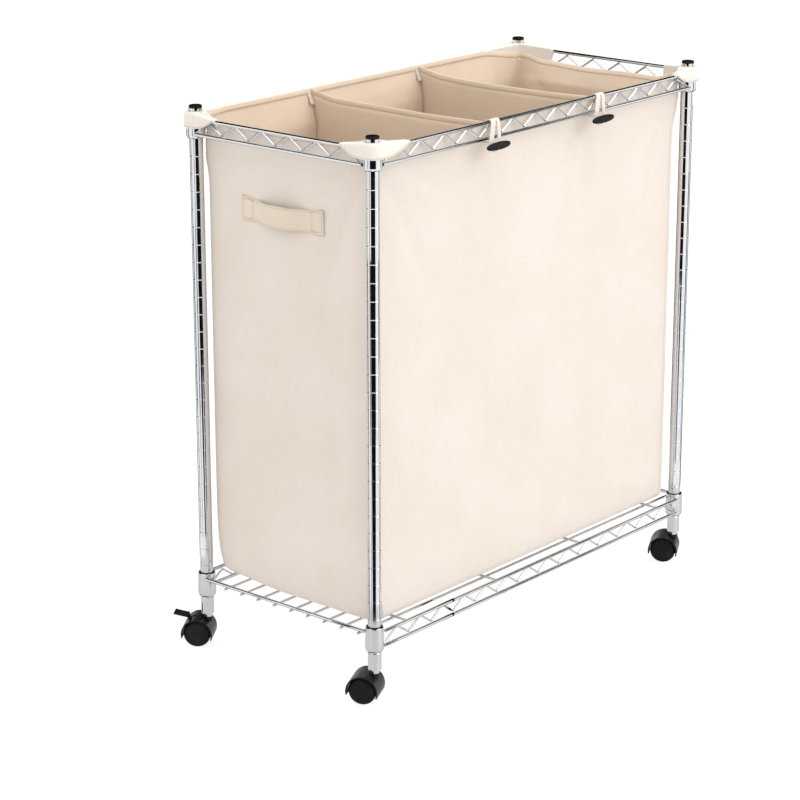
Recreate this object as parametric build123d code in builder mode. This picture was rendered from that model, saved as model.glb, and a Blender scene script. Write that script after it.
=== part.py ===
from build123d import *
from math import cos, radians, sin
import os

# Three-compartment laundry sorter: chromed wire frame on twin-wheel casters, with a hanging canvas bag.
# Millimetres. +Z up, X along the length, Y along the depth, front at -Y.
# Origin on the floor under the middle of the four posts.
os.makedirs("parts", exist_ok=True)

# ---- Driving dimensions ----
POST_X = 364.4            # post axes, half spacing along the length
POST_Y = 162.8            # post axes, half spacing along the depth
HEIGHT = 806.4            # floor to the top of the post caps
GAP = 0.05                # between pieces that touch or run on each other
SEWN_GAP = 0.25           # between neighbouring pieces of cloth

# Posts
POST_R = 9.525
POST_WALL = 1.2
POST_BOTTOM = 49.0
CAP_THICK = 3.6
POST_TOP = HEIGHT - CAP_THICK
GROOVE_PITCH = 25.4
GROOVE_FIRST = 735.2      # a groove's height, which sets the phase of all the others
GROOVE_DEPTH = 0.4
GROOVE_HALF = 0.65

# Collars and sleeves
COLLAR_H = 35.0
COLLAR_R = 13.3
COLLAR_TOP_R = 12.5
COLLAR_BOTTOM_R = 11.9
TOP_COLLAR_Z = 761.0
LOW_COLLAR_Z = 77.8
BORE_STRAIGHT = 12.0      # height of the straight lower part of a collar's bore
BORE_BOTTOM_R = 11.5
BORE_TOP_R = 10.9         # above it the bore narrows, as a wedge on its sleeve
SLEEVE_PROUD = 0.6        # sleeve above and below its collar
LOW_SLEEVE_RIM = 11.8     # rim on the lower sleeves; the ears cover the upper ones

# Wire work
ROD_R = 2.5
ROD_OUT = 11.0            # rods run this far outside the post axes
ROD_SHORT = 9.5           # and stop this far short of them
ROD_HALF_GAP = 10.9       # rods above and below a collar's middle
ZIGZAG_R = 1.5
ZIGZAG_PITCH = 50.0
ZIGZAG_HALF = 8.4         # wire axis above and below the middle
BEND_R = 3.5
WIRE_R = 1.8
LONG_WIRES = 10
LONG_WIRE_PITCH = 32.0
CROSS_WIRE_XS = (-305.0, -102.0, 102.0, 305.0)
WIRE_PAST_ROD = 4.0

# Bag
CLOTH = 2.0
BAG_X = 352.0             # outer faces of the bag's ends below its flared rim
BAG_Y = {-1: 152.0, 1: 158.0}   # and of its front and back, which hang unevenly
BAG_BOTTOM = 107.7
FLARE_Z = 744.0
RIM_Z = 787.5
RIM_IN = 4.55             # from the rods' axis to the zigzag's, which the rim hangs against
DIVIDER_X = 122.0

# Corner ears
EAR_THICK = 1.2
EAR_TOP = 797.8
EAR_LOW = 774.0
EAR_LONG = 62.0           # reach along each rod from the post axis
EAR_OUT = 13.75           # inner face of the ear outside the post axis

# Carrying straps
HANDLE_Z = 671.0
HANDLE_SHIFT = 10.0       # off the middle of the side
HANDLE_LONG = 150.0
HANDLE_TALL = 34.0
HANDLE_RISE = 13.0
HANDLE_THICK = 3.0
HANDLE_SEWN = 24.0        # length of each sewn end

# Tape loops and toggles
STRAP_X = DIVIDER_X
TAPE = 1.2
TOGGLE_OUT = 182.9
TOGGLE_Z = 756.5
TOGGLE_LONG = 51.0
TOGGLE_TALL = 12.0
TOGGLE_THICK = 7.6

# Casters
TRAIL = 14.0
WHEEL_R = 20.0
WHEEL_WIDE = 13.4
WHEEL_IN = 6.8            # wheel's inner face from the caster's middle
HOOD_IN = 21.3
HOOD_THICK = 2.0
HOOD_WIDE = 43.0
HOOD_BACK = -15.0         # trailing end of the hood, degrees above the axle
HOOD_FRONT = 202.0        # leading end
FORK_HALF = 6.4
STEM_R = 4.0
STEM_LOW = 24.0
STEM_HIGH = 84.0
FLANGE_R = 7.0
BODY_TOP = 43.6
AXLE_R = 3.0
BRAKE_PIN = (9.0, 13.5)   # brake pin from the axle: back along the trail, and up
CORNERS = {
    # corner: (x sign, y sign, direction in which the wheels trail, has a brake)
    "front_left": (-1, -1, 116.0, False),
    "back_left": (-1, 1, 124.0, True),
    "front_right": (1, -1, 119.0, False),
    "back_right": (1, 1, 120.0, True),
}

TOP_MID = TOP_COLLAR_Z + COLLAR_H / 2
LOW_MID = LOW_COLLAR_Z + COLLAR_H / 2
ROD_X = POST_X + ROD_OUT
ROD_Y = POST_Y + ROD_OUT
RIM_Y = ROD_Y - RIM_IN - ZIGZAG_R


def rim_slope(sign):
    """How far the front or back leans out per millimetre of its rim's height."""
    return (RIM_Y - BAG_Y[sign]) / (RIM_Z - FLARE_Z)


def save(part, name):
    """Label a finished piece and write it as its own STEP file."""
    part.label = name
    export_step(part, f"parts/{name}.step")


def group(builders, name):
    """Write several separate solids as one node."""
    save(Compound(children=[builder.part for builder in builders]), name)


def corner_points():
    return [(sx * POST_X, sy * POST_Y) for sx, sy, _, _ in CORNERS.values()]


# ---- Posts, caps, inserts ----
def groove_heights():
    count = int((GROOVE_FIRST - POST_BOTTOM) / GROOVE_PITCH)
    heights = [GROOVE_FIRST - GROOVE_PITCH * i for i in range(count, -3, -1)]
    return [z for z in heights if POST_BOTTOM + 5 < z < POST_TOP - 5]


def make_post(x, y, name):
    outline = [(POST_R - POST_WALL, POST_BOTTOM), (POST_R, POST_BOTTOM)]
    for z in groove_heights():
        outline += [(POST_R, z - GROOVE_HALF), (POST_R - GROOVE_DEPTH, z), (POST_R, z + GROOVE_HALF)]
    outline += [(POST_R, POST_TOP), (POST_R - POST_WALL, POST_TOP)]
    with BuildPart() as post:
        with BuildSketch(Plane(origin=(x, y, 0), x_dir=(1, 0, 0), z_dir=(0, -1, 0))):
            with BuildLine():
                Polyline(outline, close=True)
            make_face()
        revolve(axis=Axis((x, y, 0), (0, 0, 1)))
    save(post.part, name)


def make_cap(x, y):
    with BuildPart() as cap:
        with BuildSketch(Plane.XY.offset(POST_TOP + GAP)):
            with Locations((x, y)):
                Circle(POST_R - 0.2)
        extrude(amount=CAP_THICK - GAP)
        fillet(cap.edges().group_by(Axis.Z)[-1], 1.2)
        with BuildSketch(Plane.XY.offset(POST_TOP - 14)):
            with Locations((x, y)):
                Circle(POST_R - POST_WALL - GAP)
        extrude(amount=14 + 2 * GAP)
    return cap


def make_insert(x, y):
    with BuildPart() as insert:
        with BuildSketch(Plane.XY.offset(POST_BOTTOM)):
            with Locations((x, y)):
                Circle(POST_R - POST_WALL - GAP)
                Circle(STEM_R + GAP, mode=Mode.SUBTRACT)
        extrude(amount=STEM_HIGH - POST_BOTTOM + 2)
    return insert


# ---- Collars and split sleeves ----
def revolved(x, y, outline):
    """Full turn of an (r, z) outline about a post's axis."""
    with BuildPart() as piece:
        with BuildSketch(Plane(origin=(x, y, 0), x_dir=(1, 0, 0), z_dir=(0, -1, 0))):
            with BuildLine():
                Polyline(outline, close=True)
            make_face()
        revolve(axis=Axis((x, y, 0), (0, 0, 1)))
    return piece


def make_collar(x, y, base):
    top = base + COLLAR_H
    outline = [
        (BORE_BOTTOM_R, base),
        (COLLAR_BOTTOM_R, base),
        (COLLAR_R - 0.5, base + 1.2),
        (COLLAR_R, base + 3.2),
        (COLLAR_R, base + 12),
        (COLLAR_TOP_R, top - 0.6),
        (COLLAR_TOP_R - 0.5, top),
        (BORE_TOP_R, top),
        (BORE_BOTTOM_R, base + BORE_STRAIGHT),
    ]
    return revolved(x, y, outline)


def make_sleeve_half(x, y, base, rim, sy):
    """One half of a split sleeve, with the inner ridge that sits in a groove and an outer rim."""
    low, top = base - SLEEVE_PROUD, base + COLLAR_H
    inner = POST_R + GAP
    ridge = min(z for z in groove_heights() if z > base + 8)
    outline = [
        (inner, low), (BORE_BOTTOM_R - GAP, low), (BORE_BOTTOM_R - GAP, base + BORE_STRAIGHT),
        (BORE_TOP_R - GAP, top + GAP),
        (rim, top + GAP), (rim, top + SLEEVE_PROUD), (inner, top + SLEEVE_PROUD),
        (inner, ridge + GROOVE_HALF - 0.3), (inner - GROOVE_DEPTH + 0.1, ridge),
        (inner, ridge - GROOVE_HALF + 0.3),
    ]
    with BuildPart() as half:
        with BuildSketch(Plane(origin=(x, y, 0), x_dir=(1, 0, 0), z_dir=(0, -1, 0))):
            with BuildLine():
                Polyline(outline, close=True)
            make_face()
        revolve(axis=Axis((x, y, 0), (0, 0, 1)))
        with BuildSketch(Plane.XY.offset(low - 1)):
            with Locations((x, y - sy * COLLAR_R)):
                Rectangle(3 * COLLAR_R, 2 * COLLAR_R + 0.4)
        extrude(amount=COLLAR_H + 10, mode=Mode.SUBTRACT)
    return half


# ---- Wire trusses ----
def cut_at_collars(base):
    """Notch the rods in the open builder where they are welded to the collars."""
    for x, y in corner_points():
        with BuildSketch(Plane.XY.offset(base - 5)) as notch:
            with Locations((x, y)):
                Circle(COLLAR_R + 0.02)
        extrude(notch.sketch, amount=COLLAR_H + 10, mode=Mode.SUBTRACT)


def rod(start, end, radius):
    """Straight rod between two points, in the open builder."""
    with BuildLine() as run:
        Line(start, end)
    with BuildSketch(Plane(origin=start, z_dir=run.line % 0)) as section:
        Circle(radius)
    sweep(section.sketch, path=run.line)


def place_along(side, sign, along, up):
    """Point on a truss: side "x" runs along X at y = sign * ROD_Y, side "y" the other way."""
    if side == "x":
        return (along, sign * ROD_Y, up)
    return (sign * ROD_X, along, up)


def make_rod_pair_member(side, sign, z, base, radius=ROD_R):
    half = (POST_X if side == "x" else POST_Y) - ROD_SHORT
    with BuildPart() as piece:
        rod(place_along(side, sign, -half, z), place_along(side, sign, half, z), radius)
        cut_at_collars(base)
    return piece


def make_zigzag(side, sign, mid, shift):
    """Bent wire welded to the inner side of both rods."""
    inward = ROD_R + ZIGZAG_R + 2 * GAP / 5
    half = (POST_X if side == "x" else POST_Y) - ROD_SHORT - 6
    steps = range(-40, 41)
    turns = [(shift + i * ZIGZAG_PITCH / 2, ZIGZAG_HALF * (1 if i % 2 else -1)) for i in steps]
    inside = [turn for turn in turns if -half + 5 < turn[0] < half - 5]
    slope = 4 * ZIGZAG_HALF / ZIGZAG_PITCH
    first, last = inside[0], inside[-1]
    start = (-half, first[1] - slope * (first[0] + half) * (1 if first[1] > 0 else -1))
    end = (half, last[1] - slope * (half - last[0]) * (1 if last[1] > 0 else -1))
    points = []
    for along, up in [start, *inside, end]:
        x, y, z = place_along(side, sign, along, mid + up)
        if side == "x":
            y -= sign * inward
        else:
            x -= sign * inward
        points.append((x, y, z))
    with BuildPart() as wire:
        with BuildLine() as run:
            FilletPolyline(*points, radius=BEND_R)
        with BuildSketch(Plane(origin=points[0], z_dir=run.line % 0)):
            Circle(ZIGZAG_R)
        sweep(path=run.line, transition=Transition.RIGHT)
    return wire


def make_truss(name, side, sign, base, shift):
    mid = base + COLLAR_H / 2
    pieces = [
        make_rod_pair_member(side, sign, mid + ROD_HALF_GAP, base),
        make_rod_pair_member(side, sign, mid - ROD_HALF_GAP, base),
        make_zigzag(side, sign, mid, shift),
    ]
    group(pieces, name)


def make_shelf_wires():
    rod_z = LOW_MID + ROD_HALF_GAP
    long_z = rod_z - ROD_R - WIRE_R - GAP
    cross_z = long_z + 2 * WIRE_R + GAP
    longs = []
    for i in range(LONG_WIRES):
        y = (i - (LONG_WIRES - 1) / 2) * LONG_WIRE_PITCH
        reach = ROD_X + WIRE_PAST_ROD
        with BuildPart() as wire:
            rod((-reach, y, long_z), (reach, y, long_z), WIRE_R)
            if abs(y) > POST_Y - COLLAR_R - WIRE_R:
                cut_at_collars(LOW_COLLAR_Z)
        longs.append(wire)
    group(longs, "shelf_long_wires")
    crosses = []
    for x in CROSS_WIRE_XS:
        reach = ROD_Y - ROD_R - GAP
        with BuildPart() as wire:
            rod((x, -reach, cross_z), (x, reach, cross_z), WIRE_R)
        crosses.append(wire)
    group(crosses, "shelf_cross_wires")


# ---- Bag ----
def inside_depth():
    """Half depth and middle of what fits between the front and back panels."""
    near, far = (BAG_Y[sign] - CLOTH - SEWN_GAP for sign in (-1, 1))
    return (near + far) / 2, (far - near) / 2


def make_long_panel(sign, name):
    """Front or back panel: upright, with a rim that flares out to the truss."""
    face = BAG_Y[sign]
    with BuildPart() as panel:
        with BuildSketch(Plane.XZ.offset(-sign * face)):
            with Locations((0, (BAG_BOTTOM + FLARE_Z) / 2)):
                Rectangle(2 * BAG_X, FLARE_Z - BAG_BOTTOM)
        extrude(amount=sign * CLOTH)
        with BuildSketch(Plane.YZ):
            with BuildLine():
                Polyline(
                    (sign * (face - CLOTH), FLARE_Z),
                    (sign * face, FLARE_Z),
                    (sign * RIM_Y, RIM_Z),
                    (sign * (RIM_Y - CLOTH), RIM_Z),
                    close=True,
                )
            make_face()
        extrude(amount=BAG_X - 12, both=True)
    save(panel.part, name)


def make_short_panel(sign, name):
    """Left or right panel, between the long ones."""
    rim = ROD_X - RIM_IN - ZIGZAG_R
    half, middle = inside_depth()
    with BuildPart() as panel:
        with BuildSketch(Plane.YZ.offset(sign * BAG_X)):
            with Locations((middle, (BAG_BOTTOM + FLARE_Z) / 2)):
                Rectangle(2 * half, FLARE_Z - BAG_BOTTOM)
        extrude(amount=-sign * CLOTH)
        with BuildSketch(Plane.XZ.offset(-middle)):
            with BuildLine():
                Polyline(
                    (sign * (BAG_X - CLOTH), FLARE_Z),
                    (sign * BAG_X, FLARE_Z),
                    (sign * rim, RIM_Z),
                    (sign * (rim - CLOTH), RIM_Z),
                    close=True,
                )
            make_face()
        extrude(amount=half - 8, both=True)
    save(panel.part, name)


def make_bottom_panel():
    half, middle = inside_depth()
    with BuildPart() as panel:
        with BuildSketch(Plane.XY.offset(BAG_BOTTOM)):
            with Locations((0, middle)):
                Rectangle(2 * (BAG_X - CLOTH - SEWN_GAP), 2 * half)
        extrude(amount=CLOTH)
    save(panel.part, "bag_bottom_panel")


def make_divider(sign, name):
    low = BAG_BOTTOM + CLOTH + SEWN_GAP
    near, far = (BAG_Y[side] - CLOTH - SEWN_GAP for side in (-1, 1))
    rim = RIM_Y - CLOTH - TAPE - 1.7
    with BuildPart() as divider:
        with BuildSketch(Plane.YZ.offset(sign * DIVIDER_X - CLOTH / 2)):
            with BuildLine():
                Polyline(
                    (-near, low), (far, low), (far, FLARE_Z), (rim, RIM_Z),
                    (-rim, RIM_Z), (-near, FLARE_Z), close=True,
                )
            make_face()
        extrude(amount=CLOTH)
    save(divider.part, name)


def make_ear(sx, sy):
    """Cloth cap over a frame corner: a top with a hole for the post, and two tapering skirts."""
    x, y = sx * POST_X, sy * POST_Y
    outer = EAR_OUT + EAR_THICK
    plane = Plane(origin=(x, y, 0), x_dir=(sx, 0, 0), z_dir=(0, 0, sx * sy))
    up = sx * sy                          # the corner's plane may look down
    with BuildPart() as ear:
        with BuildSketch(plane.offset(up * EAR_TOP)):
            with BuildLine():
                # local x and y both point out of the frame
                Polyline(
                    (-EAR_LONG, outer), (outer - 6, outer), (outer, outer - 6), (outer, -EAR_LONG),
                    (4, -EAR_LONG + 6), (-15.5, -26), (-26, -15.5), (-EAR_LONG + 6, 4), close=True,
                )
            make_face()
        extrude(amount=-up * EAR_THICK)
        with BuildSketch(plane.offset(up * (EAR_TOP - EAR_THICK / 2))):
            with BuildLine():
                Polyline(
                    (-EAR_LONG, outer), (outer - 6, outer), (outer, outer - 6), (outer, -EAR_LONG),
                    (EAR_OUT, -EAR_LONG), (EAR_OUT, EAR_OUT - 5.5), (EAR_OUT - 5.5, EAR_OUT),
                    (-EAR_LONG, EAR_OUT), close=True,
                )
            make_face()
        extrude(amount=-up * (EAR_TOP - EAR_LOW - EAR_THICK / 2))
        # slanting lower edges: from the post's foot of the ear up to the rod's top at its far end
        for across in (Plane.XZ, Plane.YZ):
            run = sx if across is Plane.XZ else sy
            centre = x if across is Plane.XZ else y
            far_end = centre - run * (EAR_LONG + 1)
            with BuildSketch(across):
                with BuildLine():
                    Polyline(
                        (far_end, EAR_TOP - 3), (far_end, EAR_LOW - 1), (centre - run * 13, EAR_LOW - 1),
                        close=True,
                    )
                make_face()
            other = y if across is Plane.XZ else x
            toward = (sy if across is Plane.XZ else sx) * (-1 if across is Plane.XZ else 1)
            reach = abs(other) + 30
            extrude(amount=toward * reach, mode=Mode.SUBTRACT)
        with BuildSketch(Plane.XY.offset(EAR_TOP + 1)):
            with Locations((x, y)):
                Circle(POST_R + 0.5)
        extrude(amount=-EAR_THICK - 4, mode=Mode.SUBTRACT)
    return ear


def make_handle(sign, name):
    """Cloth carrying strap: two sewn ends and a raised middle."""
    face = BAG_X + SEWN_GAP
    mid = -sign * HANDLE_SHIFT
    half = HANDLE_LONG / 2
    ramp = 26.0
    inner = [
        (-half, 0), (-half + HANDLE_SEWN, 0), (-half + HANDLE_SEWN + ramp, HANDLE_RISE),
        (half - HANDLE_SEWN - ramp, HANDLE_RISE), (half - HANDLE_SEWN, 0), (half, 0),
    ]
    outer = [(along, out + HANDLE_THICK) for along, out in reversed(inner)]
    with BuildPart() as handle:
        with BuildSketch(Plane.XY.offset(HANDLE_Z - HANDLE_TALL / 2)):
            with BuildLine():
                Polyline([(sign * (face + out), mid + along) for along, out in inner + outer], close=True)
            make_face()
        extrude(amount=HANDLE_TALL)
    save(handle.part, name)


def make_loop(sx, sy):
    """Tape loop from the bag's rim over the upper rod, down outside both rods and behind the toggle."""
    x = sx * STRAP_X
    top = TOP_MID + ROD_HALF_GAP
    over = top + ROD_R + 0.3 + TAPE / 2
    out = ROD_Y + ROD_R + 0.3 + TAPE / 2
    inside = RIM_Y - CLOTH - 1.1
    line = [
        (inside - 9 * rim_slope(sy), RIM_Z - 9), (inside, RIM_Z), (inside, top + 1.0), (ROD_Y - 2.2, over),
        (ROD_Y + 1.4, over), (out, top + 0.8), (out, TOGGLE_Z - 5.0),
    ]
    with BuildPart() as loop:
        with BuildSketch(Plane.YZ.offset(x)):
            with BuildLine():
                spine = Polyline([(sy * across, z) for across, z in line])
                offset(spine, amount=TAPE / 2, side=Side.BOTH, kind=Kind.INTERSECTION)
            make_face()
        extrude(amount=13, both=True)
        # two legs that spread downwards from the rod, joined at both ends
        with BuildSketch(Plane.XZ):
            with BuildLine():
                Polyline((x - 8, RIM_Z + 12), (x + 8, RIM_Z + 12), (x + 12.5, TOGGLE_Z - 8),
                         (x - 12.5, TOGGLE_Z - 8), close=True)
            make_face()
            with BuildLine():
                Polyline((x - 0.8, top + 6), (x + 0.8, top + 6), (x + 4.6, TOGGLE_Z - 2.4),
                         (x - 4.6, TOGGLE_Z - 2.4), close=True)
            make_face(mode=Mode.SUBTRACT)
        extrude(amount=-sy * 300, mode=Mode.INTERSECT)
    return loop


def make_toggle(sx, sy, name):
    """Oval toggle with cross ribs and a waist that its tape goes round."""
    centre = (sx * STRAP_X, sy * TOGGLE_OUT, TOGGLE_Z)
    with BuildPart() as toggle:
        with BuildSketch(Plane(origin=centre, x_dir=(1, 0, 0), z_dir=(0, sy, 0))):
            Ellipse(TOGGLE_LONG / 2, TOGGLE_TALL / 2)
        extrude(amount=TOGGLE_THICK / 2, both=True)
        fillet(toggle.edges().filter_by(GeomType.ELLIPSE), 1.2)
    save(toggle.part, name)


def make_toggle_tape(sx, sy):
    """Short tape between the panel and the toggle, through the loop."""
    near = BAG_Y[sy] + (TOGGLE_Z + TAPE - FLARE_Z) * rim_slope(sy) + 0.05
    far = TOGGLE_OUT - TOGGLE_THICK / 2 - 0.15
    with BuildPart() as tape:
        with BuildSketch(Plane.XZ.offset(-sy * near)):
            with Locations((sx * STRAP_X, TOGGLE_Z)):
                Rectangle(4.0, TAPE)
        extrude(amount=-sy * (far - near))
    return tape


# ---- Casters ----
def caster_plane(name):
    """Plane through a caster's middle: local x trails, local y is up, the normal runs along the axle."""
    sx, sy, heading, _ = CORNERS[name]
    trail = Vector(cos(radians(heading)), sin(radians(heading)), 0)
    return Plane(origin=(sx * POST_X, sy * POST_Y, 0), x_dir=trail, z_dir=trail.cross(Vector(0, 0, 1)))


def arc_point(radius, angle):
    return (TRAIL + radius * cos(radians(angle)), WHEEL_R + radius * sin(radians(angle)))


def make_stem(sx, sy):
    """Steel stem with a flange under the post and a groove near its foot."""
    x, y = sx * POST_X, sy * POST_Y
    outline = [
        (0, STEM_LOW), (STEM_R - 0.6, STEM_LOW), (STEM_R, STEM_LOW + 0.6), (STEM_R, BODY_TOP + 0.3),
        (FLANGE_R, BODY_TOP + 0.3), (FLANGE_R, POST_BOTTOM - 0.8), (FLANGE_R - 0.6, POST_BOTTOM - 0.1),
        (STEM_R, POST_BOTTOM - 0.1), (STEM_R, STEM_HIGH), (0, STEM_HIGH),
    ]
    return revolved(x, y, outline)


def make_caster_body(name):
    """Hood over both wheels, with the fork and the stem socket moulded on."""
    sx, sy, _, braked = CORNERS[name]
    plane = caster_plane(name)
    outer = HOOD_IN + HOOD_THICK
    middle = (HOOD_BACK + HOOD_FRONT) / 2
    with BuildPart() as body:
        with BuildSketch(plane):
            with BuildLine():
                ThreePointArc(
                    arc_point(outer, HOOD_BACK), arc_point(outer, middle), arc_point(outer, HOOD_FRONT)
                )
                Line(arc_point(outer, HOOD_FRONT), arc_point(HOOD_IN, HOOD_FRONT - 3))
                ThreePointArc(
                    arc_point(HOOD_IN, HOOD_FRONT - 3), arc_point(HOOD_IN, middle),
                    arc_point(HOOD_IN, HOOD_BACK + 3),
                )
                Line(arc_point(HOOD_IN, HOOD_BACK + 3), arc_point(outer, HOOD_BACK))
            make_face()
        extrude(amount=HOOD_WIDE / 2, both=True)
        with BuildSketch(plane):
            with BuildLine():
                ThreePointArc(*[arc_point(HOOD_IN + 1, angle) for angle in (20, 110, 200)])
                Line(arc_point(HOOD_IN + 1, 200), (TRAIL - 8, WHEEL_R - 9))
                Line((TRAIL - 8, WHEEL_R - 9), (TRAIL + 8, WHEEL_R - 9))
                Line((TRAIL + 8, WHEEL_R - 9), arc_point(HOOD_IN + 1, 20))
            make_face()
        extrude(amount=FORK_HALF, both=True)
        with BuildSketch(Plane.XY.offset(STEM_LOW + 12)):
            with Locations((sx * POST_X, sy * POST_Y)):
                Circle(FORK_HALF)
        extrude(amount=BODY_TOP - STEM_LOW - 12 - 2)
        with BuildSketch(Plane.XY.offset(BODY_TOP - 3.5)):
            with Locations((sx * POST_X, sy * POST_Y)):
                Circle(FLANGE_R + 0.6)
        extrude(amount=3.5)
        with BuildSketch(Plane.XY.offset(STEM_LOW - 0.4)):
            with Locations((sx * POST_X, sy * POST_Y)):
                Circle(STEM_R + GAP)
        extrude(amount=30, mode=Mode.SUBTRACT)
        with BuildSketch(plane):
            with Locations((TRAIL, WHEEL_R)):
                Circle(AXLE_R)
        extrude(amount=HOOD_WIDE, both=True, mode=Mode.SUBTRACT)
        if braked:
            # slot for the brake's arm, open at the top and back, and the hole for its pin
            with BuildSketch(plane):
                with BuildLine():
                    Polyline(
                        (TRAIL + 2.5, WHEEL_R + 8), (TRAIL + 15, WHEEL_R + 3.5), (TRAIL + 26, WHEEL_R + 12),
                        (TRAIL + 26, WHEEL_R + 30), (TRAIL + 5, WHEEL_R + 30), close=True,
                    )
                make_face()
            extrude(amount=2.8, both=True, mode=Mode.SUBTRACT)
            with BuildSketch(plane):
                with Locations((TRAIL + BRAKE_PIN[0], WHEEL_R + BRAKE_PIN[1])):
                    Circle(1.5)
            extrude(amount=FORK_HALF + 1, both=True, mode=Mode.SUBTRACT)
    save(body.part, f"caster_{name}_hood")


def make_axle(name):
    with BuildPart() as axle:
        with BuildSketch(caster_plane(name)):
            with Locations((TRAIL, WHEEL_R)):
                Circle(AXLE_R - 0.01)
        extrude(amount=WHEEL_IN + WHEEL_WIDE - 3.5, both=True)
    save(axle.part, f"caster_{name}_axle")


def make_wheel(name, side, label):
    """Wheel with a crowned tread, a domed outer face and a recessed inner face."""
    plane = caster_plane(name)
    axis = Axis(plane.from_local_coords((TRAIL, WHEEL_R, 0)), plane.z_dir)
    near, far = WHEEL_IN, WHEEL_IN + WHEEL_WIDE
    outline = [
        (AXLE_R + 0.06, near), (AXLE_R + 3.2, near), (AXLE_R + 3.6, near + 3), (WHEEL_R - 4.2, near + 3),
        (WHEEL_R - 3.6, near), (WHEEL_R - 0.9, near), (WHEEL_R, near + 1.2), (WHEEL_R, far - 4.4),
        (WHEEL_R - 0.8, far - 2.6), (WHEEL_R - 2.6, far - 1.3), (WHEEL_R - 3.4, far - 1.5),
        (WHEEL_R - 4.2, far - 1.0), (9.0, far - 0.2), (3.5, far), (0, far), (0, far - 3.2),
        (AXLE_R + 0.06, far - 3.2),
    ]
    section = Plane(origin=plane.from_local_coords((TRAIL, WHEEL_R, 0)), x_dir=plane.x_dir,
                    z_dir=plane.x_dir.cross(plane.z_dir * side))
    with BuildPart() as wheel:
        with BuildSketch(section):
            with BuildLine():
                Polyline(outline, close=True)
            make_face()
        revolve(axis=axis)
    save(wheel.part, f"caster_{name}_{label}")


def make_brake(name):
    """Pedal with an arm that turns on a pin between the fork's cheeks."""
    plane = caster_plane(name)
    pin = (TRAIL + BRAKE_PIN[0], WHEEL_R + BRAKE_PIN[1])
    root, tip = (TRAIL + 14.5, WHEEL_R + 22.2), (TRAIL + 36.0, WHEEL_R + 26.5)
    with BuildPart() as lever:
        with BuildSketch(plane):
            with BuildLine():
                Polyline(
                    (pin[0] - 2.6, pin[1] - 2.4), (pin[0] + 2.8, pin[1] - 2.6), (pin[0] + 6.4, pin[1] + 6.0),
                    (root[0] + 6, root[1] - 0.5), (root[0] + 6, root[1] + 3.5), (root[0] - 2, root[1] + 2.2),
                    (pin[0] - 2.2, pin[1] + 4.0), close=True,
                )
            make_face()
        extrude(amount=2.4, both=True)
        with BuildSketch(plane):
            with BuildLine():
                Polyline(
                    root, tip, (tip[0] - 0.7, tip[1] + 2.8), (root[0] + 9, root[1] + 4.4),
                    (root[0] - 0.6, root[1] + 2.8), close=True,
                )
            make_face()
        extrude(amount=8.0, both=True)
        fillet(lever.edges().filter_by(Axis.Z).sort_by_distance(plane.from_local_coords((*tip, 0)))[:2], 1.0)
        with BuildSketch(plane):
            with Locations(pin):
                Circle(1.55)
        extrude(amount=6, both=True, mode=Mode.SUBTRACT)
    save(lever.part, f"caster_{name}_brake_lever")
    with BuildPart() as rod_pin:
        with BuildSketch(plane):
            with Locations(pin):
                Circle(1.49)
        extrude(amount=FORK_HALF - 0.2, both=True)
    save(rod_pin.part, f"caster_{name}_brake_pin")


def main():
    for name, (sx, sy, _, braked) in CORNERS.items():
        make_post(sx * POST_X, sy * POST_Y, f"post_{name}")
        make_caster_body(name)
        make_axle(name)
        make_wheel(name, 1, "wheel_a")
        make_wheel(name, -1, "wheel_b")
        if braked:
            make_brake(name)
    points = corner_points()
    group([make_cap(x, y) for x, y in points], "post_caps")
    group([make_insert(x, y) for x, y in points], "post_inserts")
    group([make_stem(sx, sy) for sx, sy, _, _ in CORNERS.values()], "caster_stems")
    group([make_collar(x, y, TOP_COLLAR_Z) for x, y in points], "top_collars")
    group([make_collar(x, y, LOW_COLLAR_Z) for x, y in points], "bottom_collars")
    halves = [(x, y, sy) for x, y in points for sy in (-1, 1)]
    for base, rim, name in (
        (TOP_COLLAR_Z, BORE_TOP_R - 0.2, "top"), (LOW_COLLAR_Z, LOW_SLEEVE_RIM, "bottom"),
    ):
        group([make_sleeve_half(x, y, base, rim, sy) for x, y, sy in halves], f"{name}_split_sleeves")
    make_truss("top_truss_front", "x", -1, TOP_COLLAR_Z, 0.0)
    make_truss("top_truss_back", "x", 1, TOP_COLLAR_Z, 0.0)
    make_truss("top_truss_left", "y", -1, TOP_COLLAR_Z, 6.0)
    make_truss("top_truss_right", "y", 1, TOP_COLLAR_Z, -6.0)
    make_truss("bottom_truss_front", "x", -1, LOW_COLLAR_Z, 0.0)
    make_truss("bottom_truss_back", "x", 1, LOW_COLLAR_Z, 0.0)
    for sign, name in ((-1, "bottom_rod_left"), (1, "bottom_rod_right")):
        save(make_rod_pair_member("y", sign, LOW_MID + ROD_HALF_GAP, LOW_COLLAR_Z).part, name)
    make_shelf_wires()
    make_long_panel(-1, "bag_front_panel")
    make_long_panel(1, "bag_back_panel")
    make_short_panel(-1, "bag_left_panel")
    make_short_panel(1, "bag_right_panel")
    make_bottom_panel()
    make_divider(-1, "bag_divider_left")
    make_divider(1, "bag_divider_right")
    group([make_ear(sx, sy) for sx, sy, _, _ in CORNERS.values()], "bag_corner_ears")
    make_handle(-1, "carry_strap_left")
    make_handle(1, "carry_strap_right")
    for sy, side in ((-1, "front"), (1, "back")):
        group([make_loop(sx, sy) for sx in (-1, 1)], f"tape_loops_{side}")
        for sx, end in ((-1, "left"), (1, "right")):
            make_toggle(sx, sy, f"toggle_{side}_{end}")
    group([make_toggle_tape(sx, sy) for sx in (-1, 1) for sy in (-1, 1)], "toggle_tapes")


main()
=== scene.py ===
import math

import bpy
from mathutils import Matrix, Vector, noise


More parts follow.
